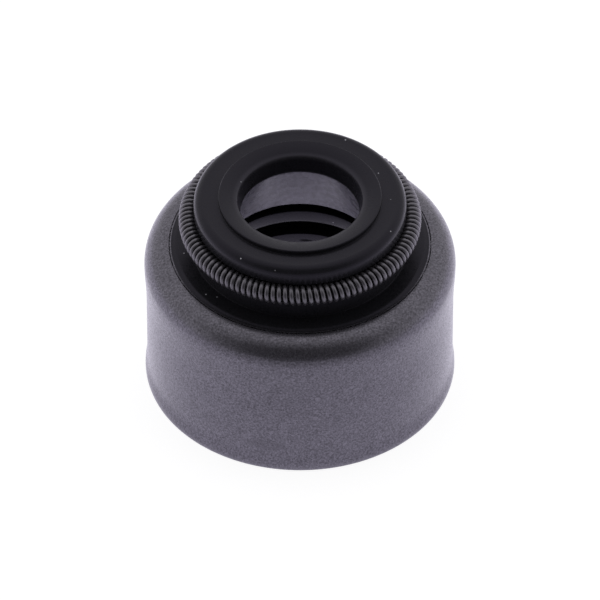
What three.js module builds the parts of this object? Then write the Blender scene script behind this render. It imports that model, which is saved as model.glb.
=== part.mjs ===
// Valve stem seal of an engine's cylinder head, standing on its open end as it would on a bench.
// A deep-drawn steel case carries a moulded rubber body, which is bonded to it and reaches out
// through the hole in its top. The rubber's lip wipes the valve stem, a garter spring round its
// neck keeps the lip closed, and ribs inside the case grip the valve guide.
//
// Millimetres, +Z up along the stem's axis, origin on the axis in the plane of the case's rim.

import * as THREE from 'three';

// Steel case, drawn from sheet
const SHEET = 0.5;
const CASE_HEIGHT = 7.25;
const CASE_WALL_RADIUS = 6.71;
const CASE_CORNER_ROUNDING = 1.12;
const CASE_HOLE_RADIUS = 4.3;
const SHOULDER_SWELL = 0.08;
const SHOULDER_DEPTH = 1.4;
const SHOULDER_RUN = 1.2;
const RIM_FLARE = 0.09;
const RIM_FLARE_HEIGHT = 0.3;
const RIM_FLARE_RUN = 0.5;
const SHEARED_EDGE_ROUNDING = 0.1;

// Garter spring, a close helix joined end to end
const SPRING_RING_RADIUS = 4.83;
const SPRING_RISE = 1.46;
const COIL_RADIUS = 0.45;
const WIRE_DIAMETER = 0.2;
const SPRING_TURNS = 118;
const SPRING_CLEARANCE = 0.02;

// Head and neck of the rubber body
const HEAD_RADIUS = 4.62;
const HEAD_RISE = 1.26;
const HEAD_ROUNDING = 0.4;
const HEAD_DISH = 0.09;
const RING_RADIUS = 3.55;
const RING_RISE = 1.39;
const RING_ROUNDING = 0.08;
const NECK_RADIUS = 4.72;
const NECK_FILLET = 0.03;
const FLANGE_RADIUS = 5.62;
const FLANGE_CREST_RADIUS = 5.54;
const FLANGE_THICKNESS = 0.08;

// Bore of the rubber body: the mouth, the lip's edge and the cone below it
const MOUTH_RADIUS = 2.71;
const MOUTH_DEPTH = 0.2;
const MOUTH_ROUNDING = 0.08;
const LIP_RADIUS = 2.57;
const LIP_RISE = 0.37;
const CONE_FOOT_RADIUS = 3.55;

// Socket for the valve guide: its ceiling, ribs and lead-in
const CEILING_SKIN = 0.47;
const RIB_COUNT = 3;
const RIB_RADIUS = 3.75;
const RIB_DEPTH = 0.55;
const RIB_PITCH = 1.355;
const RIB_WIDTH = 0.78;
const RIB_TAPER = 0.05;
const RIB_FLANK = 0.12;
const RIB_ROUNDING = 0.2;
const FIRST_RIB_DROP = 0.62;
const LINING_RECESS = 0.3;
const LEAD_IN_RADIUS = 4.6;

// Facets
const TURNED_FACETS = 36;
const ARC_STEP = Math.PI / 6;
const COIL_STEPS = 8;
const WIRE_SIDES = 4;

// Heights and radii that follow from the sizes above
const caseInnerRadius = CASE_WALL_RADIUS - SHEET;
const caseCeiling = CASE_HEIGHT - SHEET;
const shoulderRadius = CASE_WALL_RADIUS + SHOULDER_SWELL;
const shoulderFoot = CASE_HEIGHT - SHOULDER_DEPTH;
const rimRadius = CASE_WALL_RADIUS + RIM_FLARE;
const springHeight = CASE_HEIGHT + SPRING_RISE;
const headHeight = springHeight + HEAD_RISE;
const ringHeight = springHeight + RING_RISE;
const flangeHeight = CASE_HEIGHT + FLANGE_THICKNESS;
const lipHeight = springHeight + LIP_RISE;
const socketCeiling = caseCeiling - CEILING_SKIN;
const socketRadius = RIB_RADIUS + RIB_DEPTH;

// A corner of a turned outline, at a radius from the axis and a height, with its rounding.
const corner = (radius, height, rounding = 0) => ({
  at: new THREE.Vector2(radius, height),
  rounding,
});

// The points of an arc about a centre, from one angle to another.
function arc(centre, radius, from, to) {
  const steps = Math.max(1, Math.ceil(Math.abs(to - from) / ARC_STEP));
  return Array.from({ length: steps + 1 }, (_, i) => {
    const angle = from + ((to - from) * i) / steps;
    return new THREE.Vector2(Math.cos(angle), Math.sin(angle)).multiplyScalar(radius).add(centre);
  });
}

// A corner replaced by the arc that touches both of its sides. A short side limits the arc.
function roundedCorner({ at, rounding }, before, after) {
  const back = before.clone().sub(at);
  const ahead = after.clone().sub(at);
  const half = Math.acos(THREE.MathUtils.clamp(back.dot(ahead) / back.length() / ahead.length(), -1, 1)) / 2;
  const reach = Math.min(rounding / Math.tan(half), back.length() / 2, ahead.length() / 2);
  const radius = reach * Math.tan(half);
  const start = at.clone().add(back.clone().setLength(reach));
  const end = at.clone().add(ahead.clone().setLength(reach));
  const middle = start.clone().add(end).multiplyScalar(0.5).sub(at);
  const centre = at.clone().add(middle.setLength(Math.hypot(reach, radius)));
  const from = start.clone().sub(centre).angle();
  let sweep = end.clone().sub(centre).angle() - from;
  if (sweep > Math.PI) sweep -= 2 * Math.PI;
  if (sweep < -Math.PI) sweep += 2 * Math.PI;
  return arc(centre, radius, from, from + sweep);
}

// The points along a chain of corners. The chain's two ends stay sharp.
function outline(corners) {
  return corners.flatMap((c, i) =>
    c.rounding > 0 && i > 0 && i < corners.length - 1
      ? roundedCorner(c, corners[i - 1].at, corners[i + 1].at)
      : [c.at],
  );
}

// A solid of revolution about +Z. Its outline runs anticlockwise, seen with the axis on its left.
function turned(points) {
  const geometry = new THREE.LatheGeometry([...points, points[0]], TURNED_FACETS);
  return geometry.rotateX(Math.PI / 2);
}

// The face that the rubber is bonded to: over the case's top, round its hole, under its top and
// down its wall. Both solids use these points, so they meet face to face.
const bondedFace = outline([
  corner(FLANGE_RADIUS, CASE_HEIGHT),
  corner(CASE_HOLE_RADIUS, CASE_HEIGHT, SHEARED_EDGE_ROUNDING),
  corner(CASE_HOLE_RADIUS, caseCeiling, SHEARED_EDGE_ROUNDING),
  corner(caseInnerRadius, caseCeiling, CASE_CORNER_ROUNDING - SHEET),
  corner(caseInnerRadius, LINING_RECESS),
]);

// The case swells a little at its shoulder and flares at its trimmed rim, as drawn cups do.
function steelCase() {
  const bareFace = outline([
    corner(caseInnerRadius, LINING_RECESS),
    corner(caseInnerRadius, 0, SHEARED_EDGE_ROUNDING / 2),
    corner(rimRadius, 0, SHEARED_EDGE_ROUNDING),
    corner(rimRadius, RIM_FLARE_HEIGHT),
    corner(CASE_WALL_RADIUS, RIM_FLARE_HEIGHT + RIM_FLARE_RUN),
    corner(CASE_WALL_RADIUS, shoulderFoot - SHOULDER_RUN),
    corner(shoulderRadius, shoulderFoot),
    corner(shoulderRadius, CASE_HEIGHT, CASE_CORNER_ROUNDING),
    corner(FLANGE_RADIUS, CASE_HEIGHT),
  ]);
  return turned([...bondedFace.slice(0, -1), ...bareFace.slice(0, -1)]);
}

// The groove is an arc about the coil, from the underside of the head to the top of the neck.
function springGroove() {
  const centre = new THREE.Vector2(SPRING_RING_RADIUS, springHeight);
  const radius = COIL_RADIUS + SPRING_CLEARANCE;
  const angleAt = (reach) => Math.acos((reach - SPRING_RING_RADIUS) / radius);
  return arc(centre, radius, angleAt(HEAD_RADIUS), 2 * Math.PI - angleAt(NECK_RADIUS));
}

// One grip rib: a sharp step on top, a crest that eases and rounds off downwards, and a flank back
// to the wall.
function rib(index) {
  const top = socketCeiling - FIRST_RIB_DROP - index * RIB_PITCH;
  return [
    corner(socketRadius, top),
    corner(RIB_RADIUS, top),
    corner(RIB_RADIUS + RIB_TAPER, top - RIB_WIDTH, RIB_ROUNDING),
    corner(socketRadius, top - RIB_WIDTH - RIB_FLANK),
  ];
}

function rubberBody() {
  const headAndRing = outline([
    ...springGroove().slice(0, 1).map((p) => corner(p.x, p.y)),
    corner(HEAD_RADIUS, headHeight, HEAD_ROUNDING),
    corner(RING_RADIUS, headHeight - HEAD_DISH),
    corner(RING_RADIUS, ringHeight, RING_ROUNDING),
    corner(MOUTH_RADIUS, ringHeight - MOUTH_DEPTH, MOUTH_ROUNDING),
    corner(LIP_RADIUS, lipHeight),
    corner(CONE_FOOT_RADIUS, socketCeiling),
  ]);
  const flangeAndNeck = outline([
    corner(FLANGE_RADIUS, CASE_HEIGHT),
    corner(FLANGE_CREST_RADIUS, flangeHeight),
    corner(NECK_RADIUS, flangeHeight, NECK_FILLET),
    ...springGroove().slice(-1).map((p) => corner(p.x, p.y)),
  ]);
  const socket = outline([
    corner(socketRadius, socketCeiling),
    ...Array.from({ length: RIB_COUNT }, (_, i) => rib(i)).flat().slice(0, -1),
    corner(LEAD_IN_RADIUS, LINING_RECESS),
  ]);
  return turned([
    ...flangeAndNeck,
    ...springGroove().slice(1, -1).reverse(),
    ...headAndRing,
    ...socket,
    ...bondedFace.slice(1).reverse(),
  ]);
}

// The wire winds round a circle as it goes round the ring, a whole number of turns, so it closes on
// itself. Its section lies across the wire, with a corner straight out of the coil.
function garterSpring() {
  const rings = SPRING_TURNS * COIL_STEPS;
  const windingRadius = COIL_RADIUS - WIRE_DIAMETER / 2;
  const positions = [];
  const indices = [];
  for (let ring = 0; ring < rings; ring += 1) {
    const around = (2 * Math.PI * ring) / rings;
    const winding = (2 * Math.PI * ring) / COIL_STEPS;
    const outwards = new THREE.Vector3(Math.cos(around), Math.sin(around), 0);
    const forwards = new THREE.Vector3(-Math.sin(around), Math.cos(around), 0);
    const fromCoilAxis = outwards.clone().multiplyScalar(Math.cos(winding));
    fromCoilAxis.z = Math.sin(winding);
    const centre = outwards.multiplyScalar(SPRING_RING_RADIUS).addScaledVector(fromCoilAxis, windingRadius);
    for (let side = 0; side < WIRE_SIDES; side += 1) {
      const angle = (2 * Math.PI * side) / WIRE_SIDES;
      const vertex = centre.clone()
        .addScaledVector(fromCoilAxis, (Math.cos(angle) * WIRE_DIAMETER) / 2)
        .addScaledVector(forwards, (Math.sin(angle) * WIRE_DIAMETER) / 2);
      positions.push(vertex.x, vertex.y, vertex.z + springHeight);
      const here = ring * WIRE_SIDES + side;
      const beside = ring * WIRE_SIDES + ((side + 1) % WIRE_SIDES);
      const next = (here + WIRE_SIDES) % (rings * WIRE_SIDES);
      const nextBeside = (beside + WIRE_SIDES) % (rings * WIRE_SIDES);
      indices.push(here, beside, next, beside, nextBeside, next);
    }
  }
  const geometry = new THREE.BufferGeometry();
  geometry.setAttribute('position', new THREE.Float32BufferAttribute(positions, 3));
  geometry.setIndex(indices);
  geometry.computeVertexNormals();
  return geometry;
}

const steelFinish = new THREE.MeshStandardMaterial({ color: 0x5c5a61, roughness: 0.5, metalness: 0.8 });
const rubberFinish = new THREE.MeshStandardMaterial({ color: 0x17171a, roughness: 0.55, metalness: 0 });
const wireFinish = new THREE.MeshStandardMaterial({ color: 0x6e6d72, roughness: 0.35, metalness: 0.9 });

const seal = new THREE.Group();

function addPiece(name, geometry, material) {
  const mesh = new THREE.Mesh(geometry, material);
  mesh.name = name;
  seal.add(mesh);
}

addPiece('metal_case', steelCase(), steelFinish);
addPiece('rubber_body', rubberBody(), rubberFinish);
addPiece('garter_spring', garterSpring(), wireFinish);

export default seal;
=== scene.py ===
import math

import bmesh
import bpy
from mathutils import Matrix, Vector


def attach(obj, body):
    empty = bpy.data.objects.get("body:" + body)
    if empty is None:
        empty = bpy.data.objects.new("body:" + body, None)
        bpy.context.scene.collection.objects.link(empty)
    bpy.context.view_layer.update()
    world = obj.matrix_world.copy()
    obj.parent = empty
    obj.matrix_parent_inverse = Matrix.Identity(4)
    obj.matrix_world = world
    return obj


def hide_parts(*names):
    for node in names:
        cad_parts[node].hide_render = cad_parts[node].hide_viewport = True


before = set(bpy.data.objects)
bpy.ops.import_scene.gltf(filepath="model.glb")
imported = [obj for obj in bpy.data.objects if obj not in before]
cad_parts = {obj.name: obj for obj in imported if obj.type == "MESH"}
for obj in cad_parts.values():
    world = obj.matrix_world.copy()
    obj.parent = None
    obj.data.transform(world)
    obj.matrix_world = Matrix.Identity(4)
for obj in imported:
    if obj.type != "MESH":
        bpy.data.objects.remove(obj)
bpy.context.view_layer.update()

MM = 0.001


# Camera
# The seal is seen from in front and 44 degrees above, through a long lens that hardly
# converges. The camera aims at a point on the seal's axis a little below half height.
VIEW_ELEVATION = math.radians(43.6)
VIEW_DISTANCE = 405.3 * MM
AIM_HEIGHT = 3.834 * MM
LENS_LENGTH = 555.5
CLIP_NEAR = 0.05
CLIP_FAR = 10

camera_data = bpy.data.cameras.new("view")
camera_data.lens = LENS_LENGTH
camera_data.clip_start = CLIP_NEAR
camera_data.clip_end = CLIP_FAR
camera = bpy.data.objects.new("view", camera_data)
bpy.context.scene.collection.objects.link(camera)
camera.location = (
    0,
    -VIEW_DISTANCE * math.cos(VIEW_ELEVATION),
    AIM_HEIGHT + VIEW_DISTANCE * math.sin(VIEW_ELEVATION),
)
camera.rotation_euler = (math.pi / 2 - VIEW_ELEVATION, 0, 0)
bpy.context.scene.camera = camera


# Studio
# A light tent round a glowing white table. The tent is open in front, where the camera
# looks in, and the table's glow falls off on that side. Camera rays see plain white.
TENT_TINT = (1, 0.985, 1.03, 1)
PLAIN_WHITE = (1, 1, 1, 1)
TENT_LIGHT = 0.95
HORIZON_LIGHT = 1.0
HORIZON_DEPTH = 0.5
OPENING_LIGHT = 0.1
OPENING_MIDDLE = (0, -1, 0.45)
OPENING_REACH = (1.1, 1.2, 0.82)
OPENING_OUTER = 1.25
OPENING_INNER = 0.55


def spread(tree, value, low, high, to_low=0, to_high=1, kind="LINEAR"):
    """The value's range from low to high, spread from to_low to to_high."""
    node = tree.nodes.new("ShaderNodeMapRange")
    node.interpolation_type = kind
    node.inputs["From Min"].default_value = low
    node.inputs["From Max"].default_value = high
    node.inputs["To Min"].default_value = to_low
    node.inputs["To Max"].default_value = to_high
    tree.links.new(value, node.inputs["Value"])
    return node.outputs["Result"]


def separate(tree, vector):
    """The outputs X, Y and Z of a vector."""
    parts = tree.nodes.new("ShaderNodeSeparateXYZ")
    tree.links.new(vector, parts.inputs[0])
    return parts.outputs


def distance(tree, vector, middle=(0, 0, 0), reach=(1, 1, 1)):
    """How far the vector is from the middle, where the reach along each axis counts as one."""
    from_middle = tree.nodes.new("ShaderNodeMapping")
    from_middle.vector_type = "TEXTURE"
    from_middle.inputs["Location"].default_value = middle
    from_middle.inputs["Scale"].default_value = reach
    length = tree.nodes.new("ShaderNodeVectorMath")
    length.operation = "LENGTH"
    tree.links.new(vector, from_middle.inputs["Vector"])
    tree.links.new(from_middle.outputs["Vector"], length.inputs[0])
    return length.outputs["Value"]


world = bpy.data.worlds.new("light tent")
bpy.context.scene.world = world
world.use_nodes = True
tent = world.node_tree
tent.nodes.clear()
direction = tent.nodes.new("ShaderNodeTexCoord").outputs["Generated"]
wall_light = spread(
    tent, separate(tent, direction)["Z"], 0, HORIZON_DEPTH, HORIZON_LIGHT, TENT_LIGHT,
    "SMOOTHSTEP",
)
in_opening = spread(
    tent, distance(tent, direction, OPENING_MIDDLE, OPENING_REACH),
    OPENING_OUTER, OPENING_INNER, kind="SMOOTHSTEP",
)
tent_strength = tent.nodes.new("ShaderNodeMix")
tent_strength.data_type = "FLOAT"
tent_strength.inputs[3].default_value = OPENING_LIGHT
tent_ray = tent.nodes.new("ShaderNodeLightPath")
tent_light = tent.nodes.new("ShaderNodeBackground")
tent_light.inputs["Color"].default_value = TENT_TINT
seen_tent = tent.nodes.new("ShaderNodeBackground")
seen_tent.inputs["Color"].default_value = PLAIN_WHITE
tent_choice = tent.nodes.new("ShaderNodeMixShader")
world_out = tent.nodes.new("ShaderNodeOutputWorld")
tent.links.new(in_opening, tent_strength.inputs[0])
tent.links.new(wall_light, tent_strength.inputs[2])
tent.links.new(tent_strength.outputs[0], tent_light.inputs["Strength"])
tent.links.new(tent_ray.outputs["Is Camera Ray"], tent_choice.inputs[0])
tent.links.new(tent_light.outputs["Background"], tent_choice.inputs[1])
tent.links.new(seen_tent.outputs["Background"], tent_choice.inputs[2])
tent.links.new(tent_choice.outputs["Shader"], world_out.inputs["Surface"])

bpy.context.scene.view_settings.view_transform = "Standard"

TABLE_SIZE = 1.6
TABLE_WHITE = (0.3, 0.3, 0.3, 1)
TABLE_TINT = (1, 0.96, 1.12, 1)
TABLE_GLOW = 1.2
GLOW_EDGE = 0.5
GLOW_BACK = 4 * MM
GLOW_FRONT = -30 * MM
TABLE_SEEN = 0.87

bpy.ops.object.select_all(action="DESELECT")
bpy.ops.mesh.primitive_plane_add(size=TABLE_SIZE)
table = bpy.context.object
table.name = "table"
opal = bpy.data.materials.new("opal table top")
opal.use_nodes = True
glass = opal.node_tree
glass.nodes.clear()
top_coat = glass.nodes.new("ShaderNodeBsdfDiffuse")
top_coat.inputs["Color"].default_value = TABLE_WHITE
glow = glass.nodes.new("ShaderNodeEmission")
glow.inputs["Color"].default_value = TABLE_TINT
glow_place = glass.nodes.new("ShaderNodeTexCoord").outputs["Object"]
glow_fall = spread(
    glass, separate(glass, glow_place)["Y"], GLOW_FRONT, GLOW_BACK, GLOW_EDGE, TABLE_GLOW,
    "SMOOTHSTEP",
)
glass.links.new(glow_fall, glow.inputs["Strength"])
seen_glow = glass.nodes.new("ShaderNodeEmission")
seen_glow.inputs["Color"].default_value = PLAIN_WHITE
seen_glow.inputs["Strength"].default_value = TABLE_SEEN
table_ray = glass.nodes.new("ShaderNodeLightPath")
glow_choice = glass.nodes.new("ShaderNodeMixShader")
lit_top = glass.nodes.new("ShaderNodeAddShader")
glass_out = glass.nodes.new("ShaderNodeOutputMaterial")
glass.links.new(table_ray.outputs["Is Camera Ray"], glow_choice.inputs[0])
glass.links.new(glow.outputs["Emission"], glow_choice.inputs[1])
glass.links.new(seen_glow.outputs["Emission"], glow_choice.inputs[2])
glass.links.new(glow_choice.outputs["Shader"], lit_top.inputs[0])
glass.links.new(top_coat.outputs["BSDF"], lit_top.inputs[1])
glass.links.new(lit_top.outputs["Shader"], glass_out.inputs["Surface"])
table.data.materials.append(opal)


# Steel case
# A cup drawn from sheet, with a hole pierced in its top and its rim trimmed, then coated
# with grey phosphate. It swells a little at the shoulder and flares at the rim.
SHEET = 0.5
CASE_HEIGHT = 7.25
CASE_WALL = 6.71
CASE_INSIDE = CASE_WALL - SHEET
CASE_HOLE = 4.3
CORNER = 1.12
SHOULDER = 6.79
SWELL_START = 4.65
SWELL_END = 5.85
RIM = 6.80
RIM_BAND = 0.3
FLARE_END = 0.8
LINING_RECESS = 0.3
FLANGE_EDGE = 5.62
EDGE_ROUND = 0.1
RIM_ROUND = 0.12
RIM_BREAK = 0.05
SWELL_ROUND = 0.25
TURNED_SIDES = 180
ROUNDING_STEPS_PER_MM = 20
SMOOTH_BELOW = math.radians(31)
SAME_PLACE = 0.004 * MM
MERGE_WITHIN = 0.001 * MM


def select_ring(piece, radius, height):
    """Selects the ring of edges at that radius and height, in edit mode."""
    mesh = bmesh.from_edit_mesh(piece.data)
    for edge in mesh.edges:
        edge.select_set(all(
            abs(math.hypot(v.co.x, v.co.y) - radius * MM) < SAME_PLACE
            and abs(v.co.z - height * MM) < SAME_PLACE
            for v in edge.verts
        ))
    bmesh.update_edit_mesh(piece.data)


def turn(name, section):
    """A turned piece. One ring is extruded from the last for each corner of its section,
    given as radius, height and the reach of its rounding along both sides, in mm."""
    bpy.ops.object.select_all(action="DESELECT")
    radius, height, _ = section[0]
    bpy.ops.mesh.primitive_circle_add(vertices=TURNED_SIDES, radius=radius * MM)
    piece = bpy.context.object
    piece.name = piece.data.name = name
    bpy.ops.object.mode_set(mode="EDIT")
    bpy.ops.mesh.select_mode(type="EDGE")
    bpy.ops.mesh.select_all(action="SELECT")
    bpy.ops.transform.translate(value=(0, 0, height * MM))
    for wider, higher, _ in section[1:] + section[:1]:
        rise = (0, 0, (higher - height) * MM)
        bpy.ops.mesh.extrude_region_move(TRANSFORM_OT_translate={"value": rise})
        bpy.ops.transform.resize(
            value=(wider / radius, wider / radius, 1), center_override=(0, 0, higher * MM)
        )
        radius, height = wider, higher
    bpy.ops.mesh.select_all(action="SELECT")
    bpy.ops.mesh.remove_doubles(threshold=MERGE_WITHIN)
    for radius, height, reach in section:
        if reach:
            select_ring(piece, radius, height)
            bpy.ops.mesh.bevel(
                offset_type="OFFSET", offset=reach * MM, profile=0.5, affect="EDGES",
                segments=max(3, round(reach * ROUNDING_STEPS_PER_MM)), clamp_overlap=False,
            )
    bpy.ops.mesh.select_all(action="SELECT")
    bpy.ops.mesh.normals_make_consistent(inside=False)
    bpy.ops.object.mode_set(mode="OBJECT")
    bpy.ops.object.shade_smooth_by_angle(angle=SMOOTH_BELOW)
    flats = piece.modifiers.new("true flats", "WEIGHTED_NORMAL")
    flats.keep_sharp = True
    bpy.ops.object.modifier_apply(modifier=flats.name)
    return piece


case_section = [
    (FLANGE_EDGE, CASE_HEIGHT, EDGE_ROUND),
    (CASE_HOLE, CASE_HEIGHT, EDGE_ROUND),
    (CASE_HOLE, CASE_HEIGHT - SHEET, EDGE_ROUND),
    (CASE_INSIDE, CASE_HEIGHT - SHEET, CORNER - SHEET),
    (CASE_INSIDE, LINING_RECESS, 0),
    (CASE_INSIDE, 0, RIM_BREAK),
    (RIM, 0, RIM_ROUND),
    (RIM, RIM_BAND, RIM_ROUND),
    (CASE_WALL, FLARE_END, 2 * RIM_ROUND),
    (CASE_WALL, SWELL_START, 2 * SWELL_ROUND),
    (SHOULDER, SWELL_END, SWELL_ROUND),
    (SHOULDER, CASE_HEIGHT, CORNER),
]
case = turn("case", case_section)

NOISE_LOW = 0.3
NOISE_HIGH = 0.7
COAT_METAL = 0.8
DARK_CRYSTAL = (0.062, 0.059, 0.068, 1)
PALE_CRYSTAL = (0.156, 0.149, 0.172, 1)
CRYSTAL_SIZE = 0.085
CRYSTAL_DEPTH = 0.003
DARK_ROUGHNESS = 0.36
PALE_ROUGHNESS = 0.24
CLOUD_SIZE = 0.9
CLOUD_DARK = 0.93
CLOUD_PALE = 1.04
# Painted highlight: a lighter grey painted into the case's lowest band, standing in for the
# glowing table reflected there.
RIM_PAINTED_HIGHLIGHT = (0.2, 0.195, 0.215, 1)
RIM_HIGHLIGHT_TOP = 0.34
RIM_HIGHLIGHT_FULL = 0.1
RIM_HIGHLIGHT_SHARE = 0.35
SMUDGE_PLACE = (-1.5, -6.54, 1.35)
SMUDGE_REACH = (1.3, 0.6, 0.35)
SMUDGE_SHARE = 0.3
SPOT_CORE = 0.6


def in_mm(lengths):
    """Three lengths given in mm, in metres."""
    return [MM * length for length in lengths]


def own_place(tree):
    """The object's own coordinates, which stay with it when it is moved."""
    return tree.nodes.new("ShaderNodeTexCoord").outputs["Object"]


def grain(tree, size, detail):
    """Noise in the object's own place, with blotches about size mm across."""
    noise = tree.nodes.new("ShaderNodeTexNoise")
    noise.inputs["Scale"].default_value = 1 / (size * MM)
    noise.inputs["Detail"].default_value = detail
    tree.links.new(own_place(tree), noise.inputs["Vector"])
    return noise.outputs["Fac"]


def spot(tree, middle, reach):
    """One inside the ellipsoid with that middle and reach in mm, and nothing past its edge."""
    away = distance(tree, own_place(tree), in_mm(middle), in_mm(reach))
    return spread(tree, away, 1, SPOT_CORE)


def blend_colours(tree, factor, first, second, kind="MIX"):
    """A colour between two, each given as a colour or as a socket."""
    node = tree.nodes.new("ShaderNodeMix")
    node.data_type = "RGBA"
    node.blend_type = kind
    if hasattr(factor, "node"):
        tree.links.new(factor, node.inputs[0])
    else:
        node.inputs[0].default_value = factor
    for colour, socket in ((first, node.inputs[6]), (second, node.inputs[7])):
        if hasattr(colour, "node"):
            tree.links.new(colour, socket)
        else:
            socket.default_value = colour
    return node.outputs[2]


def rough_surface(tree, shader, value, depth):
    """Raises the surface by the value, up to depth mm."""
    bump = tree.nodes.new("ShaderNodeBump")
    bump.inputs["Strength"].default_value = 1
    bump.inputs["Distance"].default_value = depth * MM
    tree.links.new(value, bump.inputs["Height"])
    tree.links.new(bump.outputs["Normal"], shader.inputs["Normal"])


phosphate = bpy.data.materials.new("phosphated steel")
phosphate.use_nodes = True
coat = phosphate.node_tree
case_shader = coat.nodes["Principled BSDF"]
case_shader.inputs["Metallic"].default_value = COAT_METAL
crystals = grain(coat, CRYSTAL_SIZE, 3)
crystal_colour = blend_colours(
    coat, spread(coat, crystals, NOISE_LOW, NOISE_HIGH), DARK_CRYSTAL, PALE_CRYSTAL
)
clouds = spread(
    coat, grain(coat, CLOUD_SIZE, 4), NOISE_LOW, NOISE_HIGH, CLOUD_DARK, CLOUD_PALE
)
cloud_grey = coat.nodes.new("ShaderNodeCombineColor")
for channel in cloud_grey.inputs:
    coat.links.new(clouds, channel)
clouded = blend_colours(coat, 1, crystal_colour, cloud_grey.outputs[0], "MULTIPLY")
# Painted highlight: the wall's colour turns lighter towards the rim, in place of the table's
# reflection in the bottom band.
near_rim = spread(
    coat, separate(coat, own_place(coat))["Z"],
    RIM_HIGHLIGHT_TOP * MM, RIM_HIGHLIGHT_FULL * MM, 0, RIM_HIGHLIGHT_SHARE,
)
rim_highlighted = blend_colours(coat, near_rim, clouded, RIM_PAINTED_HIGHLIGHT)
smudge = spread(coat, spot(coat, SMUDGE_PLACE, SMUDGE_REACH), 0, 1, 0, SMUDGE_SHARE)
smudged = blend_colours(coat, smudge, rim_highlighted, DARK_CRYSTAL)
coat_roughness = spread(
    coat, crystals, NOISE_LOW, NOISE_HIGH, DARK_ROUGHNESS, PALE_ROUGHNESS
)
coat.links.new(smudged, case_shader.inputs["Base Color"])
coat.links.new(coat_roughness, case_shader.inputs["Roughness"])
rough_surface(coat, case_shader, crystals, CRYSTAL_DEPTH)
case.data.materials.append(phosphate)
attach(case, "root")
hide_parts("metal_case")


# Rubber body
# One black moulding, bonded to the steel over its top, through its hole and down its
# inside. The head holds the lip, and ribs in the socket below grip the valve guide.
FLANGE_THICKNESS = 0.05
FLANGE_CREST = 5.42
FEATHER_THICKNESS = 0.01
FEATHER = 5.54
FEATHER_ROUND = 0.06
NECK = 4.72
SPRING_RING = 4.83
SPRING_HEIGHT = 8.71
COIL = 0.45
GROOVE = COIL + 0.02
GROOVE_STEPS = 16
HEAD = 4.62
HEAD_TOP = 9.97
HEAD_ROUND = 0.4
HEAD_DISH = 0.09
RAISED_RING = 3.55
RAISED_TOP = 10.1
RAISED_ROUND = 0.08
MOUTH = 2.71
MOUTH_DEPTH = 0.2
LIP = 2.57
LIP_HEIGHT = 9.08
LIP_ROUND = 0.1
CONE_FOOT = 3.55
SOCKET_CEILING = 6.28
RIB_COUNT = 3
RIB_PITCH = 1.355
RIB_WIDTH = 0.78
RIB_CREST = 3.75
RIB_TAPER = 0.05
RIB_ROOT = 4.3
RIB_FLANK = 0.12
RIB_ROUND = 0.22
FIRST_RIB_TOP = 5.66
LEAD_IN = 4.6
CREASE = 0.02
NARROW_CREASE = 0.03
RIB_EDGE = 0.04

groove_start = math.acos((NECK - SPRING_RING) / GROOVE)
groove_end = math.acos((HEAD - SPRING_RING) / GROOVE)
groove_arc = []
for step in range(GROOVE_STEPS + 1):
    arc = 2 * math.pi - groove_start
    arc -= (2 * math.pi - groove_start - groove_end) * step / GROOVE_STEPS
    groove_arc.append((
        SPRING_RING + GROOVE * math.cos(arc),
        SPRING_HEIGHT + GROOVE * math.sin(arc),
        0,
    ))

rib_section = []
for rib in range(RIB_COUNT):
    rib_top = FIRST_RIB_TOP - RIB_PITCH * rib
    rib_section += [
        (RIB_ROOT, rib_top, NARROW_CREASE),
        (RIB_CREST, rib_top, RIB_EDGE),
        (RIB_CREST + RIB_TAPER, rib_top - RIB_WIDTH, RIB_ROUND),
        (RIB_ROOT, rib_top - RIB_WIDTH - RIB_FLANK, NARROW_CREASE),
    ]

body_section = [
    (FLANGE_EDGE, CASE_HEIGHT, 0),
    (FEATHER, CASE_HEIGHT + FEATHER_THICKNESS, FEATHER_ROUND),
    (FLANGE_CREST, CASE_HEIGHT + FLANGE_THICKNESS, FEATHER_ROUND),
    (NECK, CASE_HEIGHT + FLANGE_THICKNESS, CREASE),
    *groove_arc,
    (HEAD, HEAD_TOP, HEAD_ROUND),
    (RAISED_RING, HEAD_TOP - HEAD_DISH, NARROW_CREASE),
    (RAISED_RING, RAISED_TOP, RAISED_ROUND),
    (MOUTH, RAISED_TOP - MOUTH_DEPTH, RAISED_ROUND),
    (LIP, LIP_HEIGHT, LIP_ROUND),
    (CONE_FOOT, SOCKET_CEILING, CREASE),
    *rib_section[:-1],
    (LEAD_IN, LINING_RECESS, 0),
    (CASE_INSIDE, LINING_RECESS, 0),
    (CASE_INSIDE, CASE_HEIGHT - SHEET, CORNER - SHEET),
    (CASE_HOLE, CASE_HEIGHT - SHEET, EDGE_ROUND),
    (CASE_HOLE, CASE_HEIGHT, EDGE_ROUND),
]
body = turn("body", body_section)

MOULDED_BLACK = (0.011, 0.011, 0.0125, 1)
RUBBER_SHINE = 0.18
SHINE_TINT = (0.84, 0.77, 1, 1)
# Painted reflection: the black rubber cone inside the bore is painted a mottled grey, standing
# in for the glowing table reflected in it.
CONE_PAINTED_REFLECTION = (0.225, 0.214, 0.263, 1)
CONE_PAINTED_REFLECTION_DARK = (0.11, 0.104, 0.128, 1)
PAINTED_CONE_FADE = 0.02
PAINTED_CONE_PAST_FOOT = 0.15
PAINTED_CONE_FULL_PAST_FOOT = 0.05
MOTTLE_SIZE = 0.25
MOTTLE_LOW = 0.35
MOTTLE_HIGH = 0.65
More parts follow.
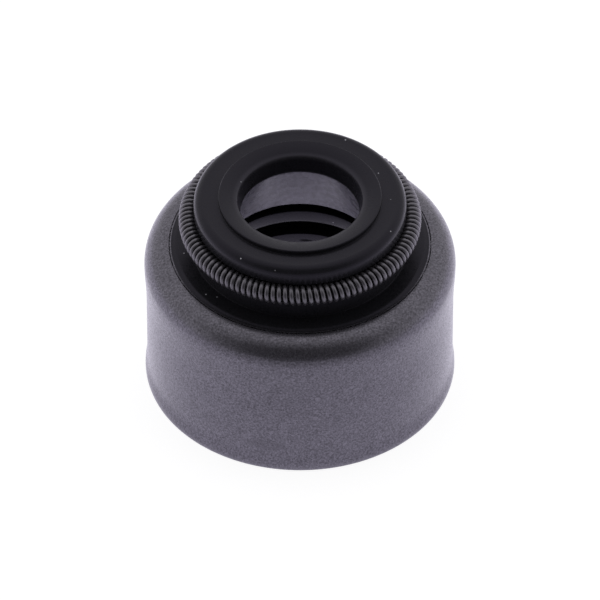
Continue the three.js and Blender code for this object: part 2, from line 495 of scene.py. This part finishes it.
# Painted highlight: a lighter grey painted round the mouth's rounded edge, standing in for the
# light that edge catches.
MOUTH_PAINTED_HIGHLIGHT = (0.034, 0.033, 0.038, 1)
MOUTH_HIGHLIGHT_WIDTH = 0.24
MOUTH_HIGHLIGHT_FULL_WIDTH = 0.04
MOUTH_HIGHLIGHT_DEPTH = 0.4
MOUTH_HIGHLIGHT_FULL_DEPTH = 0.22
SPECK_GREY = (0.5, 0.5, 0.52, 1)
SPECK_SPACING = 0.5
SPECK_SIZE = 0.08
SPECK_SHARE = 0.2
SHARE_STEP = 0.005
BLOOM_SIZE = 0.35
CLEAN_ROUGHNESS = 0.24
BLOOM_ROUGHNESS = 0.34
PORE_SIZE = 0.07
PORE_DEPTH = 0.003
NICK_PLACE = (0.25, 3.76, 3.88)
NICK_REACH = (0.36, 0.3, 0.08)


def combine(tree, first, second, operation="MULTIPLY"):
    """One value worked out from two, by that operation."""
    node = tree.nodes.new("ShaderNodeMath")
    node.operation = operation
    tree.links.new(first, node.inputs[0])
    tree.links.new(second, node.inputs[1])
    return node.outputs[0]


rubber = bpy.data.materials.new("black rubber")
rubber.use_nodes = True
skin = rubber.node_tree
body_shader = skin.nodes["Principled BSDF"]
body_shader.inputs["Specular IOR Level"].default_value = RUBBER_SHINE
body_shader.inputs["Specular Tint"].default_value = SHINE_TINT
body_place = own_place(skin)
body_parts = separate(skin, body_place)
level = skin.nodes.new("ShaderNodeCombineXYZ")
skin.links.new(body_parts["X"], level.inputs[0])
skin.links.new(body_parts["Y"], level.inputs[1])
from_axis = distance(skin, level.outputs[0])

# Painted reflection: below the lip and above the socket ceiling, inside the cone's foot, the
# rubber is painted mottled grey in place of the table's reflection.
below_lip = spread(
    skin, body_parts["Z"], (LIP_HEIGHT + PAINTED_CONE_FADE) * MM, (LIP_HEIGHT - PAINTED_CONE_FADE) * MM
)
above_foot = spread(
    skin, body_parts["Z"],
    (SOCKET_CEILING - PAINTED_CONE_FADE) * MM, (SOCKET_CEILING + PAINTED_CONE_FADE / 2) * MM,
)
in_cone = spread(
    skin, from_axis,
    (CONE_FOOT + PAINTED_CONE_PAST_FOOT) * MM, (CONE_FOOT + PAINTED_CONE_FULL_PAST_FOOT) * MM,
)
painted_cone_mask = combine(skin, combine(skin, below_lip, above_foot), in_cone)
mottle = spread(skin, grain(skin, MOTTLE_SIZE, 4), MOTTLE_LOW, MOTTLE_HIGH)
painted_cone_colour = blend_colours(skin, mottle, CONE_PAINTED_REFLECTION_DARK, CONE_PAINTED_REFLECTION)
skin_colour = blend_colours(skin, painted_cone_mask, MOULDED_BLACK, painted_cone_colour)

# Painted highlight: near the mouth and high on the raised ring, the rubber is painted lighter
# grey in place of the light on the rounded edge.
near_mouth = spread(
    skin, from_axis, (MOUTH + MOUTH_HIGHLIGHT_WIDTH) * MM, (MOUTH + MOUTH_HIGHLIGHT_FULL_WIDTH) * MM
)
above_lip = spread(
    skin, body_parts["Z"],
    (RAISED_TOP - MOUTH_HIGHLIGHT_DEPTH) * MM, (RAISED_TOP - MOUTH_HIGHLIGHT_FULL_DEPTH) * MM,
)
mouth_highlight_mask = combine(skin, near_mouth, above_lip)
skin_colour = blend_colours(skin, mouth_highlight_mask, skin_colour, MOUTH_PAINTED_HIGHLIGHT)

speck_cells = skin.nodes.new("ShaderNodeTexVoronoi")
speck_cells.inputs["Scale"].default_value = 1 / (SPECK_SPACING * MM)
skin.links.new(body_place, speck_cells.inputs["Vector"])
chosen_cell = skin.nodes.new("ShaderNodeSeparateColor")
skin.links.new(speck_cells.outputs["Color"], chosen_cell.inputs[0])
speck_here = spread(skin, speck_cells.outputs["Distance"], SPECK_SIZE, SPECK_SIZE / 2)
speck_chosen = spread(
    skin, chosen_cell.outputs[0], 1 - SPECK_SHARE, 1 - SPECK_SHARE + SHARE_STEP
)
speck = combine(skin, speck_here, speck_chosen)
skin_colour = blend_colours(skin, speck, skin_colour, SPECK_GREY)
skin.links.new(skin_colour, body_shader.inputs["Base Color"])

bloom = spread(
    skin, grain(skin, BLOOM_SIZE, 4), NOISE_LOW, NOISE_HIGH, CLEAN_ROUGHNESS, BLOOM_ROUGHNESS
)
nicked = combine(skin, bloom, spot(skin, NICK_PLACE, NICK_REACH), "MAXIMUM")
skin.links.new(nicked, body_shader.inputs["Roughness"])
rough_surface(skin, body_shader, grain(skin, PORE_SIZE, 3), PORE_DEPTH)
body.data.materials.append(rubber)
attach(body, "root")
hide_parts("rubber_body")


# Garter spring
# Fine steel wire wound close into a long coil, whose ends are joined to make a ring. It
# sits in the groove round the neck and presses the lip to the stem.
WIRE = 0.2
TURNS = 118
WIRE_SIDES = 10
TURN_STEPS = 18

coil_length = 2 * math.pi * SPRING_RING
bpy.ops.object.select_all(action="DESELECT")
bpy.ops.mesh.primitive_circle_add(
    vertices=WIRE_SIDES, radius=WIRE / 2 * MM, location=((COIL - WIRE / 2) * MM, 0, 0),
    rotation=(math.pi / 2, 0, 0),
)
spring = bpy.context.object
spring.name = spring.data.name = "spring"
bpy.ops.object.transform_apply(location=True, rotation=True, scale=True)
winding = spring.modifiers.new("winding", "SCREW")
winding.axis = "Z"
winding.angle = 2 * math.pi
winding.screw_offset = coil_length / TURNS * MM
winding.iterations = TURNS
winding.steps = winding.render_steps = TURN_STEPS
winding.use_merge_vertices = False
bpy.ops.object.modifier_apply(modifier=winding.name)
spring.rotation_euler = (0, math.pi / 2, 0)
bpy.ops.object.transform_apply(location=True, rotation=True, scale=True)
length = max(v.co.x for v in spring.data.vertices) - min(v.co.x for v in spring.data.vertices)
closing = spring.modifiers.new("closing", "SIMPLE_DEFORM")
closing.deform_method = "BEND"
closing.deform_axis = "Z"
closing.angle = 2 * math.pi * length / (coil_length * MM)
bpy.ops.object.modifier_apply(modifier=closing.name)
bpy.ops.object.mode_set(mode="EDIT")
bpy.ops.mesh.select_all(action="SELECT")
bpy.ops.mesh.remove_doubles(threshold=2 * MERGE_WITHIN)
bpy.ops.mesh.normals_make_consistent(inside=False)
bpy.ops.object.mode_set(mode="OBJECT")
spring_low = Vector([min(v.co[i] for v in spring.data.vertices) for i in range(3)])
spring_high = Vector([max(v.co[i] for v in spring.data.vertices) for i in range(3)])
spring.location = Vector((0, 0, SPRING_HEIGHT * MM)) - (spring_low + spring_high) / 2
bpy.ops.object.transform_apply(location=True, rotation=True, scale=True)
bpy.ops.object.shade_smooth()

WIRE_GREY = (0.135, 0.13, 0.142, 1)
WIRE_METAL = 0.85
WIRE_ROUGHNESS = 0.36

wire = bpy.data.materials.new("spring wire")
wire.use_nodes = True
wire_shader = wire.node_tree.nodes["Principled BSDF"]
wire_shader.inputs["Base Color"].default_value = WIRE_GREY
wire_shader.inputs["Metallic"].default_value = WIRE_METAL
wire_shader.inputs["Roughness"].default_value = WIRE_ROUGHNESS
spring.data.materials.append(wire)
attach(spring, "root")
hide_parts("garter_spring")
